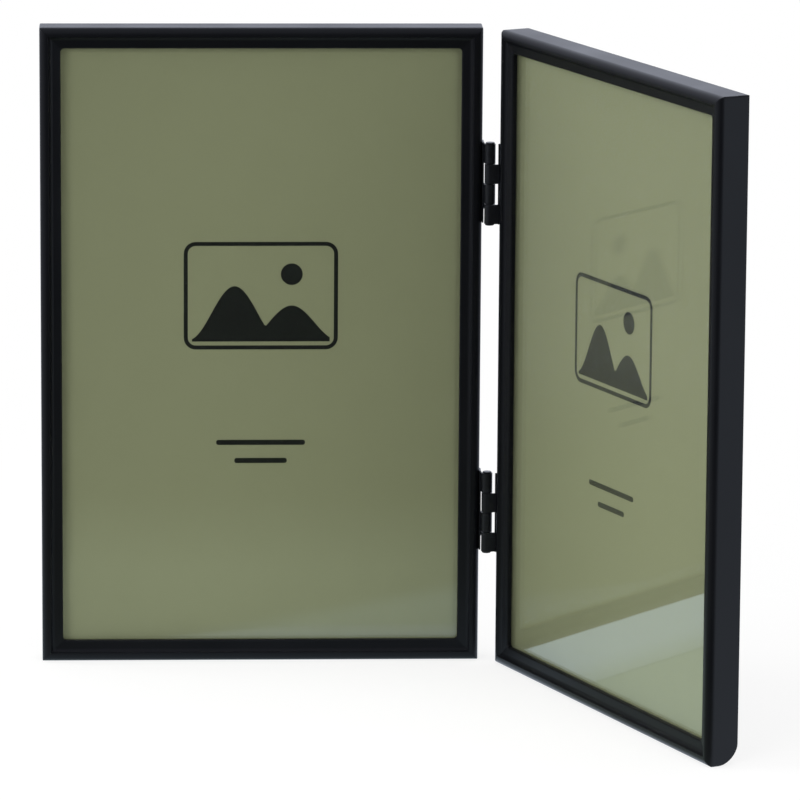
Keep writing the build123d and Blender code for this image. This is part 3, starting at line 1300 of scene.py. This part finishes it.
@dataclass
class Studio:
    """Pale table, white room, soft lamps and the camera."""

    hinge: HingeLine
    table_radius: float = 360 * MM
    table_sides: int = 96
    table_drop: float = 0.05 * MM
    middle: tuple[float, float, float] = (0.0, 0.0, 80 * MM)
    lamps: tuple[SoftLamp, ...] = (
        SoftLamp("key_lamp", (-0.95, -1.3, 0.5), 0.9, 10.9),
        SoftLamp("fill_lamp", (0.85, -1.35, 0.4), 0.9, 9.2),
        SoftLamp("side_lamp", (-1.35, 0.2, 0.4), 0.9, 13.4),
        SoftLamp("top_lamp", (0.0, 0.2, 1.5), 1.0, 5.0),
    )
    room_light: float = 0.45
    # The way to the tent's dark opening, and its brightness from there (0) to straight behind (1).
    opening: tuple[float, float, float] = (0.04, -0.97, -0.22)
    tent_steps: tuple[tuple[float, float], ...] = (
        (0.0, 0.02),
        (0.03, 0.04),
        (0.2, 0.74),
        (0.5, 0.82),
        (0.84, 0.68),
        (0.9, 0.95),
        (0.98, 1.72),
    )
    tent_tint: tuple[float, float, float] = (0.93, 0.98, 1.14)
    # The panel that the right leaf's end face mirrors: its way, its light and the cosines of its rim.
    panel_way: tuple[float, float, float] = (0.8, -0.56, -0.22)
    panel_tint: tuple[float, float, float] = (1.5, 1.68, 1.95)
    panel_spread: tuple[float, float] = (0.86, 0.98)
    image_pixels: int = 800
    focal_pixels: float = 6430.2
    sensor_mm: float = 36.0
    camera_clip: tuple[float, float] = (0.05, 20.0)
    camera_from_hinge: tuple[float, float, float] = (-0.08753, -1.54814, 0.40456)
    camera_yaw: float = math.radians(-2.4356)
    camera_pitch: float = math.radians(-12.3018)
    camera_roll: float = math.radians(-0.3874)

    def build_table(self) -> None:
        """Makes the round table top, a hair under the frame's feet."""
        mesh = bmesh.new()
        bmesh.ops.create_circle(
            mesh, cap_ends=True, segments=self.table_sides, radius=self.table_radius
        )
        data = bpy.data.meshes.new("table_top")
        mesh.to_mesh(data)
        mesh.free()
        table = bpy.data.objects.new("table_top", data)
        table.location = (0.0, 0.0, -self.table_drop)
        data.materials.append(PaleTable().build())
        bpy.context.scene.collection.objects.link(table)

    def tent(
        self, tree: bpy.types.NodeTree, through_glass: bpy.types.NodeSocket
    ) -> bpy.types.NodeSocket:
        """Adds what gloss sees of the room: a light tent, dark at its opening, with a bright panel.

        Args:
            tree: The world's node tree.
            through_glass: 1 for a ray that comes out of a pane, which doesn't see the panel.

        Returns:
            The colour's socket.
        """
        way = add_node(tree, "ShaderNodeTexCoord").outputs["Generated"]
        forward = add_node(
            tree, "ShaderNodeVectorMath", {0: way, 1: self.opening}, operation="DOT_PRODUCT"
        )
        turned = add_node(
            tree,
            "ShaderNodeMapRange",
            {"Value": forward.outputs["Value"], "From Min": 1.0, "From Max": -1.0},
        )
        wall = add_node(tree, "ShaderNodeValToRGB", {"Fac": turned.outputs["Result"]})
        stops = wall.color_ramp.elements
        given = len(stops)
        for index, (position, gleam) in enumerate(self.tent_steps):
            stop = stops[index] if index < given else stops.new(position)
            stop.position = position
            stop.color = tuple(gleam * tint for tint in self.tent_tint) + (1.0,)
        toward_panel = add_node(
            tree, "ShaderNodeVectorMath", {0: way, 1: self.panel_way}, operation="DOT_PRODUCT"
        )
        on_panel = add_node(
            tree,
            "ShaderNodeMapRange",
            {
                "Value": toward_panel.outputs["Value"],
                "From Min": self.panel_spread[0],
                "From Max": self.panel_spread[1],
            },
            interpolation_type="SMOOTHSTEP",
        )
        bright = add_node(
            tree,
            "ShaderNodeMath",
            {0: on_panel.outputs["Result"], 1: through_glass},
            operation="SUBTRACT",
            use_clamp=True,
        )
        return add_node(
            tree,
            "ShaderNodeMix",
            {
                "Factor": bright.outputs["Value"],
                "A": wall.outputs["Color"],
                "B": self.panel_tint + (1.0,),
            },
            data_type="RGBA",
        ).outputs["Result"]

    def build_room(self) -> None:
        """Makes the room: white where the camera looks, a light tent for gloss and glass."""
        world = bpy.data.worlds.new("white_room")
        world.use_nodes = True
        bpy.context.scene.world = world
        tree = world.node_tree
        tree.nodes.clear()
        path = add_node(tree, "ShaderNodeLightPath")
        mirrored = add_node(
            tree,
            "ShaderNodeMath",
            {0: path.outputs["Is Glossy Ray"], 1: path.outputs["Is Transmission Ray"]},
            operation="MAXIMUM",
        )
        level = add_node(
            tree,
            "ShaderNodeMix",
            {
                "Factor": mirrored.outputs["Value"],
                "A": (self.room_light,) * 3 + (1.0,),
                "B": self.tent(tree, path.outputs["Is Transmission Ray"]),
            },
            data_type="RGBA",
        )
        shown = add_node(
            tree,
            "ShaderNodeMix",
            {
                "Factor": path.outputs["Is Camera Ray"],
                "A": level.outputs["Result"],
                "B": (1.0, 1.0, 1.0, 1.0),
            },
            data_type="RGBA",
        )
        light = add_node(
            tree, "ShaderNodeBackground", {"Color": shown.outputs["Result"], "Strength": 1.0}
        )
        output = add_node(tree, "ShaderNodeOutputWorld")
        tree.links.new(light.outputs["Background"], output.inputs["Surface"])

    def build_camera(self) -> None:
        """Makes the camera at the place and aim that were fitted to the frame's corners."""
        data = bpy.data.cameras.new("camera")
        data.sensor_width = self.sensor_mm
        data.lens = self.focal_pixels / self.image_pixels * self.sensor_mm
        data.clip_start, data.clip_end = self.camera_clip
        camera = bpy.data.objects.new("camera", data)
        yaw = Matrix.Rotation(self.camera_yaw, 4, "Z")
        pitch = Matrix.Rotation(self.camera_pitch, 4, "X")
        roll = Matrix.Rotation(self.camera_roll, 4, "Y")
        level = Matrix.Rotation(math.pi / 2, 4, "X")
        place = Vector((self.hinge.x, self.hinge.y, 0.0)) + Vector(self.camera_from_hinge)
        camera.matrix_world = Matrix.Translation(place) @ yaw @ pitch @ roll @ level
        bpy.context.scene.collection.objects.link(camera)
        bpy.context.scene.camera = camera

    def build(self) -> None:
        """Makes the whole studio."""
        bpy.context.scene.view_settings.view_transform = "Standard"
        self.build_table()
        self.build_room()
        for lamp in self.lamps:
            lamp.build(Vector(self.middle))
            log.info("hung %s", lamp.name)
        self.build_camera()


def main() -> None:
    """Builds every sub-assembly in order and reports each piece."""
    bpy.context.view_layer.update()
    finishes = Finishes()
    hinge = HingeLine.read()
    for side in Side:
        for piece in Leaf(side, hinge).build(finishes):
            log.info("added %s on %s leaf", piece.name, side.value)
    for level in Level:
        ButtHinge(level).build(finishes)
    Studio(hinge).build()
    log.info("built the studio")


if __name__ == "__main__":
    logging.basicConfig(level=logging.INFO, format="%(message)s")
    main()
